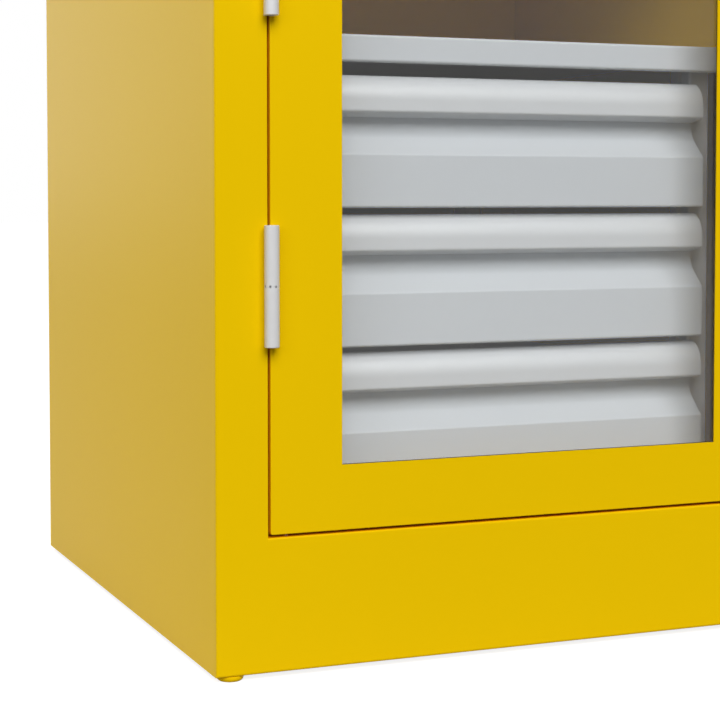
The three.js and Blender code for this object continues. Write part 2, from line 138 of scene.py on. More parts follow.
world = bpy.data.worlds.new("studio")
scene.world = world
world.cycles.sampling_method = "NONE"
world.use_nodes = True
sky_tree = world.node_tree
sky_tree.nodes.clear()
direction = add_node(sky_tree, "ShaderNodeTexCoord")
direction_parts = add_node(sky_tree, "ShaderNodeSeparateXYZ")
wire(sky_tree, (direction, "Generated", direction_parts, 0))


def studio_light(in_front, behind):
    """White light that grows from front to back."""
    ramp = add_node(sky_tree, "ShaderNodeMapRange", {
        "From Min": turn_start, "From Max": turn_end, "To Min": in_front, "To Max": behind,
    }, interpolation_type="SMOOTHSTEP")
    light = add_node(sky_tree, "ShaderNodeBackground", {"Color": white})
    wire(sky_tree, (direction_parts, "Y", ramp, "Value"), (ramp, "Result", light, "Strength"))
    return light


def choose(ray_kind, first, second):
    """The second light for rays of one kind, and the first light for all others."""
    either = add_node(sky_tree, "ShaderNodeMixShader")
    wire(sky_tree, (world_ray, ray_kind, either, "Fac"), (first, 0, either, 1), (second, 0, either, 2))
    return either


world_ray = add_node(sky_tree, "ShaderNodeLightPath")
sky = add_node(sky_tree, "ShaderNodeOutputWorld")
lit = studio_light(room_light, backdrop_light)
mirrored = studio_light(room_screens, backdrop_screens)
seen = add_node(sky_tree, "ShaderNodeBackground", {"Color": white, "Strength": backdrop_white})
unseen = choose("Is Glossy Ray", lit, mirrored)
wire(sky_tree, (choose("Is Camera Ray", unseen, seen), 0, sky, "Surface"))
print("world light", room_light, "in front,", backdrop_light, "behind")

# %% [markdown]
# One very large lamp above the camera lights the front, and throws wide soft shadows under the
# grips and beside the hinge. A weak lamp at the left lifts the side a little. Both are hidden from
# the camera.

# %% Lamps
cabinet_middle = Vector((0, 0, 0.5))


def lamp(name, place, width, height, watts):
    light = bpy.data.lights.new(name, "AREA")
    light.shape = "RECTANGLE"
    light.size = width
    light.size_y = height
    light.energy = watts
    holder = new_object(name, light)
    holder.location = place
    holder.rotation_euler = (cabinet_middle - Vector(place)).to_track_quat("-Z", "Y").to_euler()
    holder.visible_camera = False
    print(name, watts, "W at", place)


lamp("key_lamp", (-0.6, -5.8, 5.2), width=6.0, height=4.5, watts=500)
lamp("fill_lamp", (-3.6, -3.2, 1.9), width=2.0, height=2.0, watts=30)

# %% [markdown]
# The floor is one wide pale sheet. It is marked as stage, so it never counts as part of the
# cabinet. A catalogue picture burns its floor out to white, but so bright a floor would light the
# cabinet from below. Its glow is therefore only seen, straight or in a mirror. The light that it
# sends back to the cabinet is strong beside it and weak before it, which keeps the hollows under
# the grips dark.

# %% Floor
floor_half = 30.0
floor_roughness = 0.9
floor_glow = 0.85
floor_before, floor_beside = 0.1, 0.42
change_start, change_end = -0.9, -0.3


def mesh_object(name, points, faces, edges=()):
    """The faces keep the direction in which they are written."""
    mesh = bpy.data.meshes.new(name)
    mesh.from_pydata([tuple(p) for p in points], edges, faces)
    return new_object(name, mesh)


floor_corners = [(x * floor_half, y * floor_half, 0) for x, y in ((-1, -1), (1, -1), (1, 1), (-1, 1))]
floor = mesh_object("studio_floor", floor_corners, [(0, 1, 2, 3)])
print("floor", 2 * floor_half, "m wide")


# %% Floor finish
def new_material(name, values):
    """A material with its tree and its shader, which gets the given plain values."""
    material = bpy.data.materials.new(name)
    material.use_nodes = True
    shader = material.node_tree.nodes["Principled BSDF"]
    set_values(shader, values)
    return material, material.node_tree, shader


pale_floor, floor_tree, floor_shader = new_material("studio_floor", {
    "Roughness": floor_roughness, "Specular IOR Level": 0.0, "Emission Color": white,
})
floor_place = add_node(floor_tree, "ShaderNodeTexCoord")
floor_parts = add_node(floor_tree, "ShaderNodeSeparateXYZ")
floor_tone = add_node(floor_tree, "ShaderNodeMapRange", {
    "From Min": change_start, "From Max": change_end, "To Min": floor_before, "To Max": floor_beside,
})
floor_ray = add_node(floor_tree, "ShaderNodeLightPath")
seen_ray = add_node(floor_tree, "ShaderNodeMath", operation="MAXIMUM")
seen_glow = add_node(floor_tree, "ShaderNodeMath", {1: floor_glow}, operation="MULTIPLY")
wire(
    floor_tree,
    (floor_place, "Object", floor_parts, 0),
    (floor_parts, "Y", floor_tone, "Value"),
    (floor_tone, "Result", floor_shader, "Base Color"),
    (floor_ray, "Is Camera Ray", seen_ray, 0),
    (floor_ray, "Is Glossy Ray", seen_ray, 1),
    (seen_ray, 0, seen_glow, 0),
    (seen_glow, 0, floor_shader, "Emission Strength"),
)
floor.data.materials.append(pale_floor)
print("floor tone", floor_before, "before the cabinet,", floor_beside, "beside it")

# %% [markdown]
# Powder paint covers nearly the whole cabinet. Seen close it is not flat: the melted powder leaves
# a fine orange-peel skin with waves of one or two millimetres, and its tone drifts very slightly
# over a large panel. The skin can also paint shade into a narrow groove, such as the one round the
# door: a deeper, redder tone stands for the dim light bounced inside it. Each paint could have its
# own tree, but all of them share this skin, so it is one shader group with its own inputs, which
# gives out a colour, a roughness and a height.


# %% Shader group helpers
def shader_group(name, inputs):
    """A group with the given inputs, which gives out a colour, a roughness and a height."""
    group = bpy.data.node_groups.new(name, "ShaderNodeTree")
    for title, value in inputs.items():
        kind = "Float" if isinstance(value, float) else {3: "Vector", 4: "Color"}[len(value)]
        socket = group.interface.new_socket(title, in_out="INPUT", socket_type="NodeSocket" + kind)
        socket.default_value = value
    for title, kind in (("Colour", "Color"), ("Roughness", "Float"), ("Height", "Float")):
        group.interface.new_socket(title, in_out="OUTPUT", socket_type="NodeSocket" + kind)
    return group, group.nodes.new("NodeGroupInput").outputs, group.nodes.new("NodeGroupOutput").inputs


def feed(group, sources, sockets):
    """Links each socket to its source, or sets it to a plain number."""
    for source, socket in zip(sources, sockets):
        if isinstance(source, (int, float)):
            socket.default_value = source
        else:
            group.links.new(source, socket)


def computed(group, kind, operation, sources):
    node = add_node(group, kind, operation=operation)
    feed(group, sources, node.inputs)
    return node.outputs[0]


def arithmetic(group, operation, *sources):
    return computed(group, "ShaderNodeMath", operation, sources)


def vector_step(group, operation, *sources):
    return computed(group, "ShaderNodeVectorMath", operation, sources)


# %% Texture helpers
def noise(group, vector, scale, detail):
    node = add_node(group, "ShaderNodeTexNoise", {"Detail": detail})
    feed(group, (vector, scale), (node.inputs["Vector"], node.inputs["Scale"]))
    return node.outputs[0]


def swing(group, source, middle, depth):
    """A texture's 0 to 1 as a swing of the given depth about a middle."""
    centred = arithmetic(group, "SUBTRACT", source, 0.5)
    return arithmetic(group, "ADD", arithmetic(group, "MULTIPLY", centred, depth), middle)


def toned(group, colour, value):
    node = add_node(group, "ShaderNodeHueSaturation")
    feed(group, (colour, value), (node.inputs["Color"], node.inputs["Value"]))
    return node.outputs[0]


def blended(group, factor, first, second):
    node = add_node(group, "ShaderNodeMix", data_type="RGBA")
    sockets = {socket.identifier: socket for socket in (*node.inputs, *node.outputs)}
    feed(group, (factor, first, second), [sockets[t] for t in ("Factor_Float", "A_Color", "B_Color")])
    return sockets["Result_Color"]


# The mask says where the painted shade of the door's groove goes.
def groove_shade_mask(group, vector, middle, half_size, width):
    """1 just inside the four edges of a box that is seen from the front, and 0 elsewhere."""
    offset = vector_step(group, "ABSOLUTE", vector_step(group, "SUBTRACT", vector, middle))
    room = add_node(group, "ShaderNodeSeparateXYZ")
    feed(group, [vector_step(group, "SUBTRACT", half_size, offset)], room.inputs)
    edge = arithmetic(group, "MINIMUM", room.outputs["X"], room.outputs["Z"])
    inside = arithmetic(group, "GREATER_THAN", arithmetic(group, "MINIMUM", edge, room.outputs["Y"]), 0)
    return arithmetic(group, "MULTIPLY", inside, arithmetic(group, "LESS_THAN", edge, width))


# %% Powder skin
drift_scale, drift_detail, drift_depth = 2.5, 2, 0.03
peel_scale, peel_detail, peel_gloss = 620.0, 1, 0.06

powder_skin, powder_in, powder_out = shader_group("powder_skin", {
    "Vector": (0, 0, 0), "Colour": white, "Roughness": 0.4, "Tone Drift": drift_depth,
    "Peel Scale": peel_scale, "Groove Colour": white, "Groove Middle": (0, 0, 0),
    "Groove Half Size": (0, 0, 0), "Groove Width": 0.0,
})
broad = noise(powder_skin, powder_in["Vector"], drift_scale, drift_detail)
peel = noise(powder_skin, powder_in["Vector"], powder_in["Peel Scale"], peel_detail)
drift = swing(powder_skin, broad, 1.0, powder_in["Tone Drift"])
gloss_drift = swing(powder_skin, peel, powder_in["Roughness"], peel_gloss)
groove_titles = ("Vector", "Groove Middle", "Groove Half Size", "Groove Width")
# Painted shade: inside the door's groove the colour turns to the darker, redder groove tone.
painted_groove_shade = groove_shade_mask(powder_skin, *(powder_in[title] for title in groove_titles))
powder_and_groove_shade = blended(powder_skin, painted_groove_shade, powder_in["Colour"], powder_in["Groove Colour"])
feed(powder_skin, (toned(powder_skin, powder_and_groove_shade, drift), gloss_drift, peel), powder_out)
print("powder skin has", len(powder_skin.nodes), "nodes")

# %% [markdown]
# Bare metal shows how it was made: drawn and rolled strip has fine lines along its length, and a
# barrel cut from drawn bar has them along its axis. The second group stretches a noise along one
# axis of the piece for those lines, and adds the faint bloom of zinc plate.

# %% Drawn metal
line_detail = 3
bloom_scale, bloom_detail, bloom_gloss = 60.0, 3, 0.12

drawn_metal, drawn_in, drawn_out = shader_group("drawn_metal", {
    "Vector": (0, 0, 0), "Stretch": (1, 1, 1), "Colour": white, "Roughness": 0.4,
    "Line Depth": 0.1, "Bloom": 0.1,
})
stretched = vector_step(drawn_metal, "MULTIPLY", drawn_in["Vector"], drawn_in["Stretch"])
drawn_lines = noise(drawn_metal, stretched, 1.0, line_detail)
bloom = noise(drawn_metal, drawn_in["Vector"], bloom_scale, bloom_detail)
line_tone = swing(drawn_metal, drawn_lines, 1.0, drawn_in["Line Depth"])
bloom_tone = swing(drawn_metal, bloom, 1.0, drawn_in["Bloom"])
metal_tone = arithmetic(drawn_metal, "MULTIPLY", line_tone, bloom_tone)
metal_colour = toned(drawn_metal, drawn_in["Colour"], metal_tone)
metal_gloss = swing(drawn_metal, bloom, drawn_in["Roughness"], bloom_gloss)
feed(drawn_metal, (metal_colour, metal_gloss, drawn_lines), drawn_out)
print("drawn metal has", len(drawn_metal.nodes), "nodes")

# %% [markdown]
# A material is then short: the object's own coordinates go through one of the groups, and the
# colour, roughness and height that come out feed one Principled shader. What is the same all over,
# such as the metalness or the strength of the gloss, is set on the shader itself.

# %% Material helpers
peel_height = 0.0003
line_strength, line_height = 0.1, 0.0001


def coated(name, group, values, bump_strength, bump_distance, shader_values):
    material, tree, shader = new_material(name, shader_values)
    place = add_node(tree, "ShaderNodeTexCoord")
    skin = add_node(tree, "ShaderNodeGroup", values, node_tree=group)
    relief = add_node(tree, "ShaderNodeBump", {"Strength": bump_strength, "Distance": bump_distance})
    wire(
        tree,
        (place, "Object", skin, "Vector"),
        (skin, "Height", relief, "Height"),
        (relief, "Normal", shader, "Normal"),
        (skin, "Colour", shader, "Base Color"),
        (skin, "Roughness", shader, "Roughness"),
    )
    return material


def powder_paint(name, colour, roughness, gloss, peel, **groove_shade_values):
    values = {"Colour": (*colour, 1), "Roughness": roughness, **groove_shade_values}
    return coated(name, powder_skin, values, peel, peel_height, {"Specular IOR Level": gloss})


def bare_metal(name, colour, stretch, roughness, metallic, lines, bloom):
    values = {
        "Colour": (*colour, 1), "Roughness": roughness, "Stretch": stretch, "Line Depth": lines,
        "Bloom": bloom,
    }
    return coated(name, drawn_metal, values, line_strength, line_height, {"Metallic": metallic})


# %% [markdown]
# The yellow paint has to know where the groove round the door runs. It is told a box that is a
# little wider than the door and starts just behind the cabinet's face. Along that box's four edges
# the paint turns deeper and redder in tone: painted shade for the dim light inside the groove.

# %% Door groove, painted shade
# Painted shade: the darker, redder yellow that stands for the dim light inside the door's groove.
groove_shade_tone = (0.92, 0.48, 0.0003, 1)
groove_reach = 0.0035
groove_slack = 0.0002
groove_start, groove_end = 0.0012, 0.030

front_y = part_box("plinth")[0].y
door_x, door_y, door_z = zip(*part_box("door_panel"))
groove_low = Vector((door_x[0] - groove_reach, front_y + groove_start, door_z[0] - groove_reach))
groove_high = Vector((door_x[1] + groove_reach, front_y + groove_end, door_z[1] + groove_reach))
groove_shade_values = {
    "Groove Colour": groove_shade_tone,
    "Groove Middle": (groove_low + groove_high) / 2,
    "Groove Half Size": (groove_high - groove_low) / 2,
    "Groove Width": groove_reach + groove_slack,
}
print("groove from", [round(v, 4) for v in groove_low], "to", [round(v, 4) for v in groove_high])

# %% [markdown]
# The paints and metals follow, each with its colour, its roughness and its gloss. The grips are a
# little paler and glossier than the drawers. The window seal and the handle are dark plastic, which
# gets the same skin, because moulded plastic is grained as finely as powder paint.

# %% Paints
# The yellow paint takes the groove box, so it carries the painted shade in the door's groove.
yellow_paint = powder_paint(
    "yellow_paint", (0.92, 0.59, 0.0005), roughness=0.36, gloss=0.03, peel=0.05, **groove_shade_values,
)
grey_paint = powder_paint("grey_paint", (0.585, 0.612, 0.638), roughness=0.42, gloss=0.35, peel=0.05)
grip_paint = powder_paint("grip_paint", (0.605, 0.622, 0.638), roughness=0.36, gloss=0.7, peel=0.03)
dark_plastic = powder_paint("dark_plastic", (0.022, 0.024, 0.027), roughness=0.45, gloss=0.4, peel=0.25)
white_plastic = powder_paint("white_plastic", (0.95, 0.89, 0.86), roughness=0.4, gloss=0.4, peel=0.1)
paints = (yellow_paint, grey_paint, grip_paint, dark_plastic, white_plastic)
print("paints:", [paint.name for paint in paints])

# %% Metals
lines_along_y = (900.0, 12.0, 900.0)
lines_along_z = (900.0, 900.0, 12.0)
zinc = bare_metal(
    "zinc", (0.62, 0.64, 0.66), lines_along_y, roughness=0.34, metallic=0.9, lines=0.12, bloom=0.15,
)
pale_steel = bare_metal(
    "pale_steel", (0.70, 0.70, 0.705), lines_along_z, roughness=0.42, metallic=0.15, lines=0.05, bloom=0.03,
)
chrome = bare_metal(
    "chrome", (0.78, 0.79, 0.81), lines_along_z, roughness=0.12, metallic=1.0, lines=0.02, bloom=0.02,
)
metals = (zinc, pale_steel, chrome)
print("metals:", [metal.name for metal in metals])

# %% [markdown]
# The window is a clear sheet. A true glass shader bends and mirrors what is seen through it, but it
# also stops the lamps' light, and the drawers behind would turn dark. So rays from lamps, and the
# light that the drawers send on, go straight through a transparent shader instead, and only what
# the eye sees passes the glass.

# %% Clear glazing
glazing, glazing_tree, glass = new_material("glazing", {
    "Base Color": (0.985, 0.995, 0.99, 1), "Roughness": 0.02, "IOR": 1.49, "Transmission Weight": 1.0,
})
open_way = add_node(glazing_tree, "ShaderNodeBsdfTransparent")
light_ray = add_node(glazing_tree, "ShaderNodeLightPath")
either_ray = add_node(glazing_tree, "ShaderNodeMath", operation="MAXIMUM")
through = add_node(glazing_tree, "ShaderNodeMixShader")
wire(
    glazing_tree,
    (light_ray, "Is Shadow Ray", either_ray, 0),
    (light_ray, "Is Diffuse Ray", either_ray, 1),
    (either_ray, 0, through, "Fac"),
    (glass, 0, through, 1),
    (open_way, 0, through, 2),
    (through, 0, glazing_tree.nodes["Material Output"], "Surface"),
)
print("glazing lets lamps through")

# %% [markdown]
# Every new piece ends the same way: its modifiers are turned into plain faces, it gets its finish,
# it rides on the part of the cabinet that carries it, and it says which steel parts it stands for.
# Folds are drawn with several narrow faces and shaded smooth, so the wide flat faces beside them
# need their normals weighted by area, or they would look pillowed.

# %% Piece helpers
smooth_limit = math.radians(32)
edge_limit = math.radians(40)
merge_distance = 1e-6


def solid_object(name, points, faces):
    """A closed shape: its doubles are merged first, then its faces are turned outwards."""
    thing = mesh_object(name, points, faces)
    shape = bmesh.new()
    shape.from_mesh(thing.data)
    bmesh.ops.remove_doubles(shape, verts=shape.verts, dist=merge_distance)
    bmesh.ops.recalc_face_normals(shape, faces=shape.faces)
    shape.to_mesh(thing.data)
    shape.free()
    return thing


def modify(thing, kind, **settings):
    return with_settings(thing.modifiers.new(kind, kind), settings)


def settle(thing):
    """Turns the modifiers into plain faces."""
    view = bpy.context.evaluated_depsgraph_get()
    plain = bpy.data.meshes.new_from_object(thing.evaluated_get(view))
    thing.modifiers.clear()
    thing.data = plain
    plain.name = thing.name


def smooth(thing):
    """Shades folds and round faces smooth, and keeps wide flat faces flat."""
    thing.data.polygons.foreach_set("use_smooth", [True] * len(thing.data.polygons))
    thing.data.set_sharp_from_angle(angle=smooth_limit)
    modify(thing, "WEIGHTED_NORMAL", keep_sharp=True)
    settle(thing)


def round_edges(thing, radius, segments, angle=edge_limit):
    modify(thing, "BEVEL", width=radius, segments=segments, limit_method="ANGLE", angle_limit=angle)
    settle(thing)


def cut_away(thing, cutter):
    modify(thing, "BOOLEAN", operation="DIFFERENCE", solver="EXACT", object=cutter)
    settle(thing)
    bpy.data.objects.remove(cutter)


def join_meshes(thing, *others):
    """One mesh of several, for pieces of one body and one finish."""
    shape = bmesh.new()
    for source in (thing, *others):
        shape.from_mesh(source.data)
    shape.to_mesh(thing.data)
    shape.free()
    for other in others:
        bpy.data.objects.remove(other)


def finish_piece(thing, body, finish, *stands_for):
    thing.data.materials.clear()
    thing.data.materials.append(finish)
    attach(thing, body)
    if stands_for:
        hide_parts(*stands_for)
    print(thing.name, len(thing.data.polygons), "faces, rides on", body)


def smooth_piece(thing, body, finish, *stands_for):
    smooth(thing)
    finish_piece(thing, body, finish, *stands_for)


# %% [markdown]
# Three basic shapes serve for the rest: a plain block, mostly as a cutter, a prism between two
# equal outlines, and a shape that is turned from a profile, as on a lathe. They are written as
# points and faces, because a real profile has chamfers and bores that a stock cylinder lacks.

# %% Blocks and prisms
near_distance = 1e-5


def near(a, b):
    return abs(a - b) < near_distance


def at_end(value, span):
    return near(value, span[0]) or near(value, span[1])


def block(name, low, high):
    points = [(x, y, z) for x in (low[0], high[0]) for y in (low[1], high[1]) for z in (low[2], high[2])]
    faces = [(0, 1, 3, 2), (4, 6, 7, 5), (0, 4, 5, 1), (2, 3, 7, 6), (0, 2, 6, 4), (1, 5, 7, 3)]
    return solid_object(name, points, faces)


def prism(name, first_end, last_end):
    """A solid between two outlines with the same number of points."""
    count = len(first_end)
    sides = [(i, (i + 1) % count, count + (i + 1) % count, count + i) for i in range(count)]
    ends = [tuple(range(count)), tuple(range(2 * count - 1, count - 1, -1))]
    return solid_object(name, first_end + last_end, sides + ends)


# %% Turned shapes
full_round, small_round, tiny_round = 64, 32, 16
quarter_turn, half_turn = math.pi / 2, math.pi


def turned(name, profile, centre=(0, 0, 0), axis="z", steps=full_round):
    """A shape turned about an axis. The profile is a line of (radius, place along the axis)."""
    points, faces = [], []
    for i in range(steps):
        angle = 2 * math.pi * i / steps
        for radius, along in profile:
            u, v = radius * math.cos(angle), radius * math.sin(angle)
            points.append(Vector(centre) + Vector((u, v, along) if axis == "z" else (u, along, v)))
    rows = len(profile)
    for i in range(steps):
        here, after = i * rows, (i + 1) % steps * rows
        faces += [(here + k, after + k, after + k + 1, here + k + 1) for k in range(rows - 1)]
    return solid_object(name, points, faces)


def rod_profile(radius, start, end, start_chamfer=0, end_chamfer=0):
    """The profile of a solid rod. An end without a chamfer is sharp."""
    return [
        (0, start), (radius - start_chamfer, start), (radius, start + start_chamfer),
        (radius, end - end_chamfer), (radius - end_chamfer, end), (0, end),
    ]


def arc(centre, size, start, sweep, steps):
    """Points along part of a circle, or of an ellipse when the two sizes differ."""
    angles = [start + sweep * k / steps for k in range(steps + 1)]
    return [(centre[0] + size[0] * math.cos(a), centre[1] + size[1] * math.sin(a)) for a in angles]


def upright_axis(low, high):
    """The foot of the upright line through a box's middle."""
    return (low.x + high.x) / 2, (low.y + high.y) / 2, 0


# %% [markdown]
# A sheet-metal part such as the case or the door is easiest to draw as a skin: flat faces with
# sharp folds and no thickness. The Bevel modifier then rounds each fold that is marked with a
# weight, and Solidify gives the sheet its gauge on the inside, so the outer radius and the gauge
# are both true. Faces are written between rings of four corners round an opening.


# %% Skin helpers
def ring(x_span, y, z_span):
    (x0, x1), (z0, z1) = x_span, z_span
    return [(x0, y, z0), (x1, y, z0), (x1, y, z1), (x0, y, z1)]


def level_ring(x_span, y_span, z):
    (x0, x1), (y0, y1) = x_span, y_span
    return [(x0, y0, z), (x1, y0, z), (x1, y1, z), (x0, y1, z)]


def between_rings(first, second):
    """Four faces between two rings, by the number of each ring's first corner."""
    return [(first + i, first + (i + 1) % 4, second + (i + 1) % 4, second + i) for i in range(4)]


def closed_band(name, rings):
    """A solid frame: faces run from each ring to the next, and from the last to the first."""
    count = len(rings)
    faces = [face for k in range(count) for face in between_rings(4 * k, 4 * ((k + 1) % count))]
    return solid_object(name, [corner for corners in rings for corner in corners], faces)


def inset(span, by):
    return span[0] + by, span[1] - by


def fold_sheet(thing, fold_radius, gauge, segments=4):
    """Rounds each edge by the radius that is given for its two ends, and gives the skin its
    gauge inwards."""
    weights = thing.data.attributes.new("bevel_weight_edge", "FLOAT", "EDGE")
    places = [v.co for v in thing.data.vertices]
    radii = [fold_radius(*(places[i] for i in edge.vertices)) for edge in thing.data.edges]
    widest = max(radii)
    for edge, radius in zip(thing.data.edges, radii):
        weights.data[edge.index].value = radius / widest
    modify(thing, "BEVEL", limit_method="WEIGHT", width=widest, segments=segments)
    modify(
        thing, "SOLIDIFY", thickness=gauge, offset=-1, use_even_offset=True, use_quality_normals=True,
    )
    settle(thing)


# %% [markdown]
# The case is welded from folded sheets and ground smooth before it is painted, so no seam shows
# between its side, its stile and its plinth. The steel parts have small fitting gaps there, and one
# continuous skin stands for them. Its front is a ring round the door's opening, which turns back at
# the jamb and inwards again as the door stop.

# %% Case sizes
sheet_gauge = 0.0015
stop_lip = 0.014
rebate = 0.021
rear_flange = 0.030

back_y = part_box("side_left")[1].y
rebate_y = front_y + rebate
left_x, right_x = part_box("top_panel")[0].x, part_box("top_panel")[1].x
base_z, top_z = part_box("side_left")[0].z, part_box("top_panel")[1].z
jamb_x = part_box("side_right")[0].x + stop_lip
sill_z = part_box("floor_panel")[1].z
head_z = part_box("head_rail")[0].z + stop_lip
case_x, case_z = (left_x, right_x), (base_z, top_z)
opening_x, opening_z = (-jamb_x, jamb_x), (sill_z, head_z)
print("door opening", round(2 * jamb_x, 4), "by", round(head_z - sill_z, 4), "m")

# %% Case skin
case_points = [
    *ring(case_x, front_y, case_z),
    *ring(opening_x, front_y, opening_z),
    *ring(opening_x, rebate_y, opening_z),
    *ring(inset(opening_x, stop_lip), rebate_y, inset(opening_z, stop_lip)),
    *ring(case_x, back_y, case_z),
    (left_x, rebate_y, base_z), (right_x, rebate_y, base_z),
    *ring(inset(case_x, rear_flange), back_y, case_z),
]
left_side, right_side = (0, 3, 19, 16, 20), (1, 21, 17, 18, 2)
top_face, base_face = (3, 2, 18, 24, 25, 19), (0, 20, 21, 1)
left_flange, right_flange = (16, 19, 25, 22), (17, 23, 24, 18)
case_faces = [
    *between_rings(0, 4), *between_rings(4, 8), *between_rings(8, 12),
    left_side, right_side, top_face, base_face, left_flange, right_flange,
]
case_skin = mesh_object("case_skin", case_points, case_faces)
print("case skin", len(case_faces), "faces")

# %% [markdown]
# Not every edge of the skin is a fold. The outer folds are wide, the ones round the door's opening
# are tighter, and the plinth's lower edge is only broken. The inner corners of the door stop and
# the open edges at the base and at the back stay sharp.

# %% Case folds
case_fold = 0.003
opening_fold = 0.002
base_fold = 0.001


def case_fold_radius(a, b):
    both = (a, b)
    in_front = all(near(p.y, front_y) for p in both)
    round_opening = all(at_end(p.x, opening_x) for p in both)
    on_outside = all(at_end(p.x, case_x) or near(p.z, top_z) for p in both)
    at_base = all(near(p.z, base_z) for p in both)
    at_side = all(at_end(p.x, case_x) for p in both) and near(a.x, b.x)
    along_top = at_side and all(near(p.z, top_z) for p in both)
    up_the_back = at_side and all(near(p.y, back_y) for p in both)
    if in_front and round_opening:
        return opening_fold
    if in_front and at_base:
        return base_fold
    if in_front and on_outside or along_top or up_the_back:
        return case_fold
    return 0


fold_sheet(case_skin, case_fold_radius, sheet_gauge)
print("folded case skin", len(case_skin.data.polygons), "faces")

# %% [markdown]
# The lock rods leave the door through its upper and lower edge and enter the case, so the skin is
# slotted there. A Boolean modifier cuts with a small block for each slot. The width of each rod is
# measured at its tip, because its head is wider.

# %% Rod slots
rod_play = 0.0005
slot_reach = 0.006


def cut_rod_slots(sheet, upper_z, lower_z):
    for rod, slot_z in (("upper_lock_rod", upper_z), ("lower_lock_rod", lower_z)):
        low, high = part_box(rod)
        tip_z = high.z if slot_z == upper_z else low.z
        at_tip = [v.co.x for v in cad_nodes[rod].data.vertices if near(v.co.z, tip_z)]
        cut_away(sheet, block(
            "slot_cutter",
            (min(at_tip) - rod_play, low.y - rod_play, slot_z - slot_reach),
            (max(at_tip) + rod_play, high.y + rod_play, slot_z + slot_reach),
        ))


cut_rod_slots(case_skin, head_z, sill_z)
smooth_piece(case_skin, "root", yellow_paint, "side_left", "side_right", "head_rail", "plinth", "top_panel")

# %% [markdown]
# The door is a shallow pan of the same sheet. Its rim turns back by the door's depth and then
# inwards as a lip, and the window is cut out of its face with a plain edge. Its four corners are
# welded and ground, so they are rounder than its rim. It needs a hole for the lock's shaft and a
# slot at each end for the lock rods.

# %% Door skin
door_fold = 0.001
door_corner = 0.0025
door_lip = 0.0105
pane_overlap = 0.010

pane_x, pane_y, pane_z = zip(*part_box("window_pane"))
window_x, window_z = inset(pane_x, pane_overlap), inset(pane_z, pane_overlap)
door_points = [
    *ring(door_x, door_y[0], door_z),
    *ring(window_x, door_y[0], window_z),
    *ring(door_x, door_y[1], door_z),
    *ring(inset(door_x, door_lip), door_y[1], inset(door_z, door_lip)),
]
door_faces = between_rings(0, 4) + between_rings(8, 0) + between_rings(12, 8)
door_skin = mesh_object("door_skin", door_points, door_faces)


def door_fold_radius(a, b):
    at_rim = all(at_end(p.x, door_x) or at_end(p.z, door_z) for p in (a, b))
    runs_back = not near(a.y, b.y)
    if not at_rim:
        return 0
    return door_corner if runs_back else door_fold


fold_sheet(door_skin, door_fold_radius, sheet_gauge)
print("window", round(window_x[1] - window_x[0], 4), "by", round(window_z[1] - window_z[0], 4), "m")

# %% Door openings
shaft_hole_radius = 0.0055

key_low, key_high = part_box("key_cylinder")
lock_x, lock_z = (key_low.x + key_high.x) / 2, (key_low.z + key_high.z) / 2
shaft_hole = rod_profile(shaft_hole_radius, -slot_reach, slot_reach)
cut_away(door_skin, turned("shaft_cutter", shaft_hole, (lock_x, front_y, lock_z), "y", small_round))
cut_rod_slots(door_skin, door_z[1], door_z[0])
smooth_piece(door_skin, "door", yellow_paint, "door_panel")

# %% [markdown]
# A strip of black foam seals the pane against the sheet. It looks out of the joint by half a
# millimetre, which shows as a fine dark line along the window's lower edge. A dark line in the
# paint would do for the front view, but from below the strip has to be there, so it is a flat
# frame, made as a band between rings.

# %% Window seal
seal_lap = 0.008
seal_show = 0.0006

seal_front = door_y[0] + sheet_gauge
hidden_x, hidden_z = inset(window_x, -seal_lap), inset(window_z, -seal_lap)
shown_x, shown_z = inset(window_x, seal_show), inset(window_z, seal_show)
window_seal = closed_band("window_seal", [
    ring(hidden_x, seal_front, hidden_z), ring(shown_x, seal_front, shown_z),
    ring(shown_x, pane_y[0], shown_z), ring(hidden_x, pane_y[0], hidden_z),
])
finish_piece(window_seal, "door", dark_plastic)
print("seal", round(pane_y[0] - seal_front, 5), "m thick")

# %% [markdown]
# Many small things on the cabinet come in rows: rivets, screws, pressed ribs, notches. One Geometry
# Nodes tree lays them all. It takes a path, spreads a number of points evenly along it, puts a copy
# of a given head at each, makes the copies real faces and gives them a finish. For a ring round an
# upright axis, each copy may be turned a little further than the last.

# %% Row tree
row_tree = bpy.data.node_groups.new("row_of_heads", "GeometryNodeTree")
for title, kind in (
    ("Path", "NodeSocketGeometry"), ("Head", "NodeSocketObject"), ("Count", "NodeSocketInt"),
    ("First Turn", "NodeSocketFloat"), ("Turn Step", "NodeSocketFloat"), ("Finish", "NodeSocketMaterial"),
):
    row_tree.interface.new_socket(title, in_out="INPUT", socket_type=kind)
row_tree.interface.new_socket("Row", in_out="OUTPUT", socket_type="NodeSocketGeometry")
row_in = add_node(row_tree, "NodeGroupInput")
row_out = add_node(row_tree, "NodeGroupOutput")
as_curve = add_node(row_tree, "GeometryNodeMeshToCurve")
spread = add_node(row_tree, "GeometryNodeResampleCurve", mode="COUNT")
head_shape = add_node(row_tree, "GeometryNodeObjectInfo")
number = add_node(row_tree, "GeometryNodeInputIndex")
upright_turn = add_node(row_tree, "ShaderNodeMath", operation="MULTIPLY_ADD")
turn_vector = add_node(row_tree, "ShaderNodeCombineXYZ")
copies = add_node(row_tree, "GeometryNodeInstanceOnPoints")
real = add_node(row_tree, "GeometryNodeRealizeInstances")
dressed = add_node(row_tree, "GeometryNodeSetMaterial")
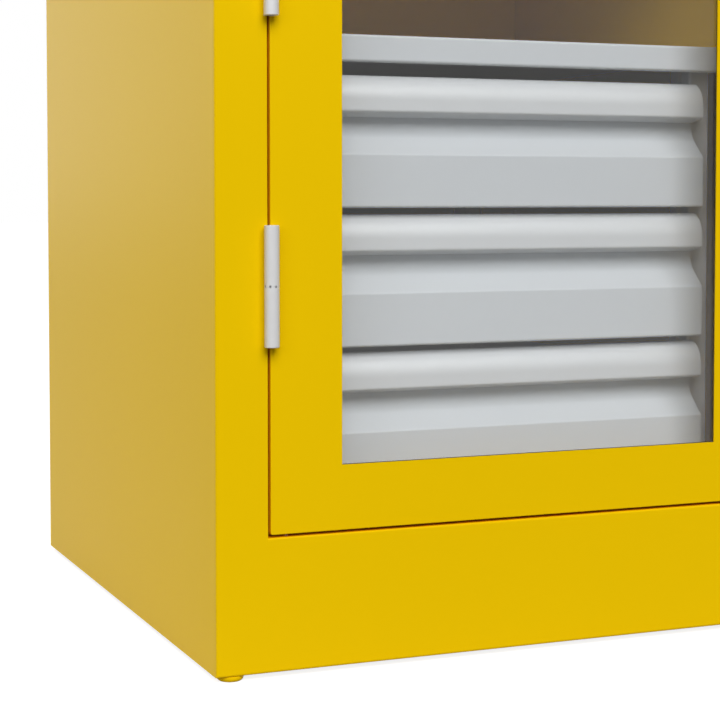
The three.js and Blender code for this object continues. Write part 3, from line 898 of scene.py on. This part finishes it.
wire(
    row_tree,
    (row_in, "Path", as_curve, "Mesh"),
    (as_curve, "Curve", spread, "Curve"),
    (row_in, "Count", spread, "Count"),
    (row_in, "Head", head_shape, "Object"),
    (number, 0, upright_turn, 0),
    (row_in, "Turn Step", upright_turn, 1),
    (row_in, "First Turn", upright_turn, 2),
    (upright_turn, 0, turn_vector, "Z"),
    (turn_vector, 0, copies, "Rotation"),
    (spread, "Curve", copies, "Points"),
    (head_shape, "Geometry", copies, "Instance"),
    (copies, "Instances", real, "Geometry"),
    (real, "Geometry", dressed, "Geometry"),
    (row_in, "Finish", dressed, "Material"),
    (dressed, "Geometry", row_out, "Row"),
)
row_sockets = {
    item.name: item.identifier for item in row_tree.interface.items_tree if item.in_out == "INPUT"
}
print("row tree takes", sorted(row_sockets))


# %% Rows along paths
def row_of(name, head, paths, count, finish, closed=False, first_turn=0.0, turn_step=0.0):
    """Copies of a head along each path, the same number on each. The head itself is used up."""
    points, edges = [], []
    for path in paths:
        first = len(points)
        points += path
        edges += [(i, i + 1) for i in range(first, len(points) - 1)]
        if closed:
            edges.append((len(points) - 1, first))
    row = mesh_object(name, points, [], edges)
    layout = modify(row, "NODES", node_group=row_tree)
    for title, value in (
        ("Head", head), ("Count", count), ("First Turn", first_turn), ("Turn Step", turn_step),
        ("Finish", finish),
    ):
        layout[row_sockets[title]] = value
    settle(row)
    bpy.data.objects.remove(head)
    return row


# %% [markdown]
# The pane lies behind the door's sheet, and a frame of folded strip clamps its edge. Small pan head
# screws hold the frame all round. They are seen only from inside, when the door is open.

# %% Pane frame
frame_reveal = 0.003
frame_edge, frame_edge_steps = 0.0004, 2

outer_x, frame_y, outer_z = zip(*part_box("pane_frame"))
reveal_x, reveal_z = inset(window_x, -frame_reveal), inset(window_z, -frame_reveal)
clamp_frame = closed_band("clamp_frame", [
    ring(outer_x, frame_y[0], outer_z), ring(outer_x, frame_y[1], outer_z),
    ring(reveal_x, frame_y[1], reveal_z), ring(reveal_x, pane_y[1], reveal_z),
    ring(pane_x, pane_y[1], pane_z), ring(pane_x, frame_y[0], pane_z),
])
round_edges(clamp_frame, frame_edge, frame_edge_steps)
smooth_piece(clamp_frame, "door", yellow_paint, "pane_frame")

# %% Frame screws
screw_radius = 0.0028
screw_height = 0.0016
screw_count = 28
screw_shares = [(0, 0), (1, 0), (1, 0.5), (0.8, 0.9), (0.45, 1), (0.4, 0.5), (0, 0.5)]

screw_profile = [(screw_radius * across, screw_height * up) for across, up in screw_shares]
screw_head = turned("screw_head", screw_profile, axis="y", steps=tiny_round)
smooth(screw_head)
screw_line = -(pane_overlap + frame_reveal) / 2
screw_path = ring(inset(window_x, screw_line), frame_y[1], inset(window_z, screw_line))
frame_screws = row_of("frame_screws", screw_head, [screw_path], screw_count, zinc, closed=True)
finish_piece(frame_screws, "door", zinc)

# %% [markdown]
# The drawers and the shelf are folded too, but their shape is the same all along, so they are drawn
# as a section and run along the cabinet's width. The section of a folded sheet follows one face of
# the metal and turns each corner as an arc. The finer the arc, the cleaner the light runs over the
# drawers' hollow and the grips' crown.

# %% Section helpers
arc_step = math.radians(7.5)


def folded_outline(path, gauge, inside_radius):
    """The face of a folded sheet with its metal on the left of the path, and its whole outline.
    A corner may have its own inside radius."""
    face, back = [], []
    corners = [Vector(corner[:2]) for corner in path]
    for i, here in enumerate(corners):
        into = (here - corners[i - 1]).normalized() if i > 0 else None
        out = (corners[i + 1] - here).normalized() if i < len(corners) - 1 else None
        if into is None or out is None:
            along = into or out
            face.append(here)
            back.append(here + Vector((-along.y, along.x)) * gauge)
            continue
        turn = math.atan2(into.x * out.y - into.y * out.x, into.dot(out))
        side = math.copysign(1, turn)
        inside = path[i][2] if len(path[i]) > 2 else inside_radius
        face_radius = inside + gauge if side > 0 else inside
        left = Vector((-into.y, into.x))
        centre = here - into * face_radius * math.tan(abs(turn) / 2) + left * side * face_radius
        steps = math.ceil(abs(turn) / arc_step)
        for k in range(steps + 1):
            c, s = math.cos(turn * k / steps), math.sin(turn * k / steps)
            spoke = Vector((left.x * c - left.y * s, left.x * s + left.y * c)) * -side
            face.append(centre + spoke * face_radius)
            back.append(centre + spoke * (face_radius - side * gauge))
    return face, face + back[::-1]


def run_across(name, outline, x_span, place=(0, 0)):
    """A section of (depth, height) points run from left to right."""
    return prism(name, *([(x, place[0] + p[0], place[1] + p[1]) for p in outline] for x in x_span))


# %% [markdown]
# The shelf is a board over the drawers. Its front edge is folded down and in again, and shows as a
# plain grey band above the top drawer.

# %% Shelf
shelf_gauge = 0.00125
shelf_return = 0.012
small_fold = 0.0015

shelf_low, shelf_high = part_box("shelf")
_, shelf_outline = folded_outline([
    (shelf_high.y, shelf_low.z), (shelf_high.y, shelf_high.z), (shelf_low.y, shelf_high.z),
    (shelf_low.y, shelf_low.z), (shelf_low.y + shelf_return, shelf_low.z),
], shelf_gauge, small_fold)
shelf_board = run_across("shelf_board", shelf_outline, (shelf_low.x, shelf_high.x))
smooth_piece(shelf_board, "root", grey_paint, "shelf")

# %% [markdown]
# Each drawer front is one folded sheet. Its lower part is flat, and its upper part bends back in a
# wide hollow, where the fingers reach in. A rail with a rolled crown closes the top of the hollow
# as the grip. Its ends are shut with small caps, so that no raw edge is left.

# %% Drawer sections
drawer_gauge = 0.00125
front_flat = 0.0555
front_return = 0.018
hollow_radius = 0.0235
grip_wall = 0.002
grip_crown = 0.016
grip_slope = math.radians(30)
crown_radius = 0.026
lip_radius = 0.001
grip_drop = 0.0045
grip_edge = 0.0005

front_low, front_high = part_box("lower_drawer_front")
grip_low, grip_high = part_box("lower_drawer_grip")
front_height = front_high.z - front_low.z
front_depth = front_high.y - front_low.y - drawer_gauge
grip_depth = grip_high.y - grip_low.y
grip_foot = grip_low.z - front_low.z + grip_drop
_, front_outline = folded_outline([
    (front_depth, front_height), (front_depth, front_flat + front_depth, hollow_radius),
    (0, front_flat), (0, 0), (front_return, 0),
], drawer_gauge, small_fold)
grip_face, grip_outline = folded_outline([
    (grip_depth, front_height), (grip_crown, front_height, grip_edge),
    (0, front_height - grip_crown * math.tan(grip_slope), crown_radius),
    (0, grip_foot), (grip_depth, grip_foot - grip_drop),
], grip_wall, lip_radius)
print("front", round(front_height, 4), "m high, hollow", round(front_depth, 4), "m deep")

# %% Drawer fronts and grips
cap_gauge = 0.0018
cap_edge = 0.0003

drawer_names = ("lower", "middle", "upper")
for drawer in drawer_names:
    body = f"{drawer}_drawer"
    low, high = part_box(f"{body}_front")
    place, across = (low.y, low.z), (low.x, high.x)
    sheet = run_across(f"{drawer}_front_sheet", front_outline, across, place)
    smooth_piece(sheet, body, grey_paint, f"{body}_front")
    rail = run_across(f"{drawer}_grip_rail", grip_outline, inset(across, cap_gauge), place)
    smooth_piece(rail, body, grip_paint, f"{body}_grip")
    left_cap, right_cap = (
        run_across(f"{drawer}_grip_caps", grip_face, span, place)
        for span in ((across[0], across[0] + cap_gauge), (across[1] - cap_gauge, across[1]))
    )
    join_meshes(left_cap, right_cap)
    round_edges(left_cap, cap_edge, 1)
    smooth_piece(left_cap, body, grip_paint)

# %% [markdown]
# A tray is a box of thin sheet, drawn as a skin again: a floor, four walls and a narrow rim that
# turns inwards, so that the hand meets no sharp edge. Upright ribs are pressed into the inside of
# its long walls, and dividers can stand between them. A bump in the material could show the ribs
# too, but not in profile, as they are seen when the drawer is open.

# %% Tray boxes
tray_gauge = 0.00125
tray_fold, tray_fold_steps = 0.002, 3
tray_rim = 0.006


def tray_box(drawer):
    x_span, y_span, (floor_z, rim_z) = zip(*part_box(f"{drawer}_drawer_tray"))
    points = [
        *level_ring(x_span, y_span, floor_z),
        *level_ring(x_span, y_span, rim_z),
        *level_ring(inset(x_span, tray_rim), inset(y_span, tray_rim), rim_z),
    ]
    tray_floor = (3, 2, 1, 0)
    faces = [tray_floor, *between_rings(0, 4), *between_rings(4, 8)]
    tray = mesh_object(f"{drawer}_tray_box", points, faces)

    def tray_fold_radius(a, b):
        at_wall = all(at_end(p.x, x_span) or at_end(p.y, y_span) for p in (a, b))
        return tray_fold if at_wall else 0

    fold_sheet(tray, tray_fold_radius, tray_gauge, tray_fold_steps)
    smooth_piece(tray, f"{drawer}_drawer", grey_paint, f"{drawer}_drawer_tray")


# %% Tray ribs
rib_radius = 0.0016
rib_end_room = 0.015
rib_margin = 0.025
rib_count = 34
rib_round = 10


def tray_ribs(drawer):
    x_span, y_span, z_span = zip(*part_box(f"{drawer}_drawer_tray"))
    foot, head = inset(z_span, rib_end_room)
    taper = 2 * rib_radius
    rib_profile = [(0, foot), (rib_radius, foot + taper), (rib_radius, head - taper), (0, head)]
    rib = turned("rib", rib_profile, steps=rib_round)
    smooth(rib)
    start, end = inset(y_span, rib_margin)
    rib_paths = [[(x, start, 0), (x, end, 0)] for x in inset(x_span, tray_gauge)]
    ribs = row_of(f"{drawer}_tray_ribs", rib, rib_paths, rib_count, grey_paint)
    finish_piece(ribs, f"{drawer}_drawer", grey_paint)


for drawer in drawer_names:
    tray_box(drawer)
    tray_ribs(drawer)

# %% [markdown]
# The hinges are barrels cut from bar, split across the middle. The case carries the lower half and
# the door the upper half, on a loose pin that is sunk in both ends. The two halves nearly touch,
# and a ring of small notches round the split shows as a few dark marks. The notches are cut with a
# ring of blocks that the row tree lays, each turned to face outwards.

# %% Hinge sizes
barrel_chamfer = 0.0007
split_gap = 0.0001
bore_radius = 0.0045
pin_chamfer = 0.0008
notch_count = 8
notch_step = 2 * math.pi / notch_count
notch_offset = math.radians(8.5)
first_notch = -quarter_turn - camera_turn - notch_offset
notch_half_width = 0.0009
notch_half_height = 0.0013
lug_near, lug_far = 0.00125, 0.00525
lug_depth = 0.0035
print(notch_count, "notches round each barrel's split")


# %% Hinge barrels
def barrel(name, axis, radius, z_span, split_at_top):
    """One half of a hinge's barrel, bored for the pin, with its outer end chamfered."""
    away, split = z_span if split_at_top else z_span[::-1]
    chamfer_z = away + math.copysign(barrel_chamfer, split - away)
    return turned(name, [
        (bore_radius, split), (radius, split), (radius, chamfer_z),
        (radius - barrel_chamfer, away), (bore_radius, away), (bore_radius, split),
    ], axis)


def notch_ring(axis, radius, split_z):
    """The blocks that cut the notches round a barrel's split."""
    half_size = Vector((radius - bore_radius, notch_half_width, notch_half_height))
    notch = block("notch", -half_size, half_size)
    angles = [first_notch + notch_step * k for k in range(notch_count)]
    circle = [(axis[0] + radius * math.cos(a), axis[1] + radius * math.sin(a), split_z) for a in angles]
    return row_of("notches", notch, [circle], notch_count, pale_steel, True, first_notch, notch_step)


def hinge_half(hinge, owner, body, axis, split_z):
    node = f"{hinge}_hinge_{owner}_knuckle"
    low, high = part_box(node)
    radius = axis[1] - low.y
    on_case = owner == "case"
    z_span = (low.z, split_z - split_gap / 2) if on_case else (split_z + split_gap / 2, high.z)
    half = barrel(f"{hinge}_{owner}_barrel", axis, radius, z_span, on_case)
    cut_away(half, notch_ring(axis, radius, split_z))
    lug_x = sorted(axis[0] + (-edge if on_case else edge) for edge in (lug_near, lug_far))
    lug = block("lug", (lug_x[0], high.y - lug_depth, low.z), (lug_x[1], high.y, high.z))
    join_meshes(half, lug)
    smooth_piece(half, body, pale_steel, node)


# %% Hinges
for hinge in ("lower", "upper"):
    pin_low, pin_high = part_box(f"{hinge}_hinge_pin")
    pin_axis = upright_axis(pin_low, pin_high)
    split_z = (pin_low.z + pin_high.z) / 2
    hinge_half(hinge, "case", "root", pin_axis, split_z)
    hinge_half(hinge, "door", "door", pin_axis, split_z)
    pin_radius = (pin_high.x - pin_low.x) / 2
    pin_profile = rod_profile(pin_radius, pin_low.z, pin_high.z, pin_chamfer, pin_chamfer)
    pin = turned(f"{hinge}_pin", pin_profile, pin_axis, steps=small_round)
    smooth_piece(pin, "root", zinc, f"{hinge}_hinge_pin")

# %% [markdown]
# The cabinet stands on four round glides under its corners. Each is a painted disc on a short stem.
# Its lower edge is widely rounded, so it slides over joints in the floor, and looks brown there
# because it faces down. The turned profile holds the disc, its two edges and the stem.

# %% Glides
sole_edge = 0.004
sole_edge_steps = 8
rim_edge = 0.0005
stem_radius = 0.004
fit_gap = 0.00025

for corner in ("front_left", "front_right", "rear_left", "rear_right"):
    low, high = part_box(f"foot_{corner}")
    radius = (high.x - low.x) / 2
    disc_top = base_z - fit_gap
    sole = arc((radius - sole_edge, sole_edge), (sole_edge, sole_edge), -quarter_turn, quarter_turn,
               sole_edge_steps)
    disc = turned(f"glide_{corner}", [
        (0, 0), *sole, (radius, disc_top - rim_edge), (radius - rim_edge, disc_top),
        (stem_radius, disc_top), (stem_radius, high.z), (0, high.z),
    ], upright_axis(low, high))
    smooth_piece(disc, "root", yellow_paint, f"foot_{corner}")

# %% [markdown]
# A small pale button on the sill carries the shut door's weight near the hinge. It is turned with a
# shallow dome.

# %% Sill button
button_lip = 0.0003
dome_steps = 6

low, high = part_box("sill_button")
button_radius = (high.x - low.x) / 2
lip_z = sill_z + button_lip
button_dome = arc((0, lip_z), (button_radius, high.z - lip_z), 0, quarter_turn, dome_steps)
button_profile = [(0, sill_z), (button_radius, sill_z), *button_dome]
button = turned("button", button_profile, upright_axis(low, high), steps=small_round)
smooth_piece(button, "root", white_plastic, "sill_button")

# %% [markdown]
# The lock is worked by a wing handle on a round rose. The wing is a long pill of dark plastic with
# soft edges on a round neck, and the chromed key cylinder sits in its middle. All of them share one
# axis, which runs from front to back through the cylinder. The pill is a prism whose edges are
# rounded by a Bevel modifier, and the round pieces are turned.

# %% Rose
rose_edge, rose_facet = 0.002, 0.0006

lock_line = (lock_x, 0, lock_z)
low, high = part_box("handle_rose")
rose_radius = (high.x - low.x) / 2
rose = turned("rose", [
    (shaft_hole_radius, high.y), (rose_radius, high.y), (rose_radius, low.y + rose_edge),
    (rose_radius - rose_facet, low.y + rose_facet), (rose_radius - rose_edge, low.y),
    (shaft_hole_radius, low.y), (shaft_hole_radius, high.y),
], lock_line, "y")
smooth_piece(rose, "door", dark_plastic, "handle_rose")

# %% Wing
wing_width = 0.024
wing_depth = 0.016
wing_edge, wing_edge_steps = 0.0035, 5
wing_edge_limit = math.radians(60)
wing_end_steps = 24

handle_low, handle_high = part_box("handle")
wing_half = wing_width / 2
wing_reach = (handle_high.z - handle_low.z) / 2 - wing_half
wing_outline = [
    point
    for end_z, start in ((lock_z + wing_reach, 0), (lock_z - wing_reach, half_turn))
    for point in arc((lock_x, end_z), (wing_half, wing_half), start, half_turn, wing_end_steps)
]
wing_y = (handle_low.y, handle_low.y + wing_depth)
wing = prism("wing_handle", *([(x, y, z) for x, z in wing_outline] for y in wing_y))
round_edges(wing, wing_edge, wing_edge_steps, wing_edge_limit)
print("wing", round(handle_high.z - handle_low.z, 4), "m long")

# %% Key hole and neck
key_play = 0.0005
neck_radius = 0.015
neck_chamfer = 0.0008
neck_start_gap = 0.0005

key_radius = (key_high.x - key_low.x) / 2
key_hole_end = key_high.y + fit_gap
key_hole = rod_profile(key_radius + key_play, handle_low.y - slot_reach, key_hole_end)
cut_away(wing, turned("key_cutter", key_hole, lock_line, "y"))
neck_profile = rod_profile(neck_radius, key_hole_end + neck_start_gap, handle_high.y, 0, neck_chamfer)
neck = turned("neck", neck_profile, lock_line, "y")
join_meshes(wing, neck)
smooth_piece(wing, "handle", dark_plastic, "handle")

# %% [markdown]
# The key cylinder is a plug with a broken rim, and a block cuts its upright slot. The cylinder
# turns by itself, so it rides on its own body and not on the handle's.

# %% Key cylinder
key_slot_half_size = Vector((0.001, 0.003, 0.0045))
key_rim = 0.0006

plug_profile = rod_profile(key_radius, key_low.y, key_high.y, key_rim)
cylinder = turned("cylinder_plug", plug_profile, lock_line, "y")
slot_middle = Vector((lock_x, key_low.y, lock_z))
cut_away(cylinder, block("key_slot", slot_middle - key_slot_half_size, slot_middle + key_slot_half_size))
smooth_piece(cylinder, "key", chrome, "key_cylinder")

# %% [markdown]
# The back panel is riveted to the case along its upper and lower edge. The rivets' heads are low
# domes, laid by the row tree.

# %% Back rivets
rivet_radius = 0.0035
rivet_height = 0.0011
rivet_steps = 4
rivet_inset = 0.015
rivet_count = 9
rivet_side_room = 0.05

panel_x, panel_y, panel_z = zip(*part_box("back_panel"))
rivet_dome = arc((0, 0), (rivet_radius, rivet_height), 0, quarter_turn, rivet_steps)
rivet = turned("rivet", [(0, 0), (rivet_radius, 0), *rivet_dome], axis="y", steps=tiny_round)
smooth(rivet)
rivet_start, rivet_end = inset(panel_x, rivet_side_room)
rivet_paths = [
    [(rivet_start, panel_y[1], z), (rivet_end, panel_y[1], z)] for z in inset(panel_z, rivet_inset)
]
rivets = row_of("back_rivets", rivet, rivet_paths, rivet_count, yellow_paint)
finish_piece(rivets, "root", yellow_paint)

# %% [markdown]
# The parts that already have their true shape stay as they are: the posts, the floor, the back, the
# pane, the runners and the lock's inner parts. They only change their plain material for the finish
# of the same name.

# %% Finishes of the steel parts
finishes = {finish.name: finish for finish in (*paints, *metals, glazing)}
for node in cad_nodes.values():
    for slot in node.material_slots:
        slot.material = finishes[slot.material.name.removeprefix(plain_prefix)]
print("finished", len(cad_nodes), "steel parts")
